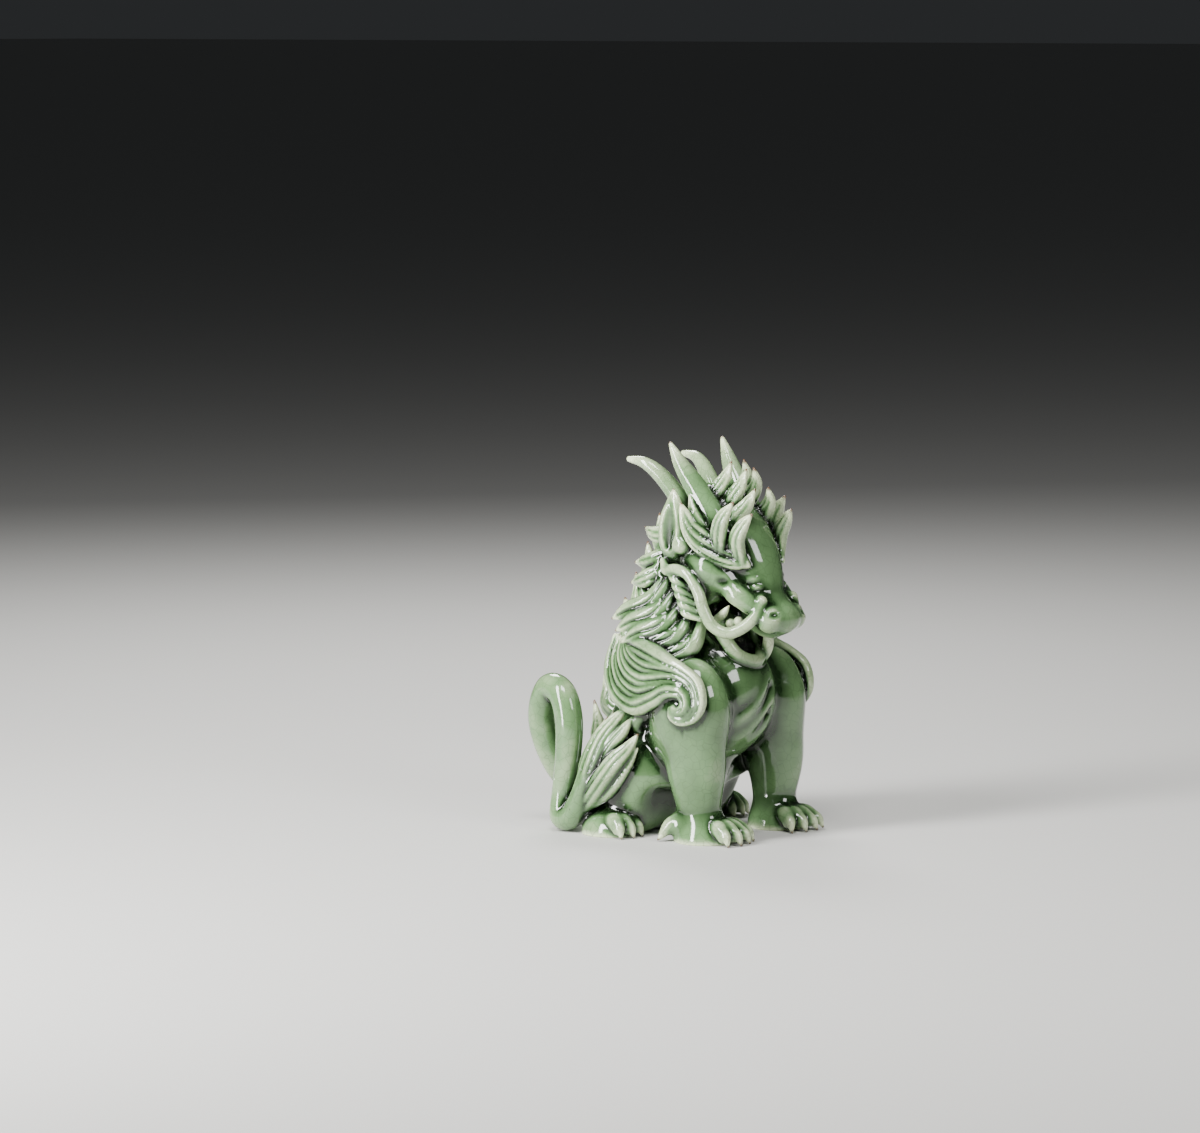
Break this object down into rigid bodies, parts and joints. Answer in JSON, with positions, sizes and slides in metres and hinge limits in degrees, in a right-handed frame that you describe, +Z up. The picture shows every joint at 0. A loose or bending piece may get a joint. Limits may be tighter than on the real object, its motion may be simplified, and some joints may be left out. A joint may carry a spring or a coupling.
{
  "type": "ceramic tea pet",
  "caption": "Seated mythical lion with horns, mane, long whiskers and a looped tail, a celadon-glazed ceramic tea pet that stands by its own weight.",
  "frame": {"origin": "on the surface that the figure stands on, under the middle of its bounding box", "axes": "+Z up, the beast looks along -Y, its right side, with the tail's loop, is -X"},
  "size_m": [0.0636, 0.0824, 0.1157],
  "materials": {
    "celadon_glaze": "glossy celadon glaze over brown stoneware, pale on the edges and deep green in the hollows"
  },
  "bodies": {
    "root": {"tea_pet": "celadon_glaze"}
  },
  "joints": []
}
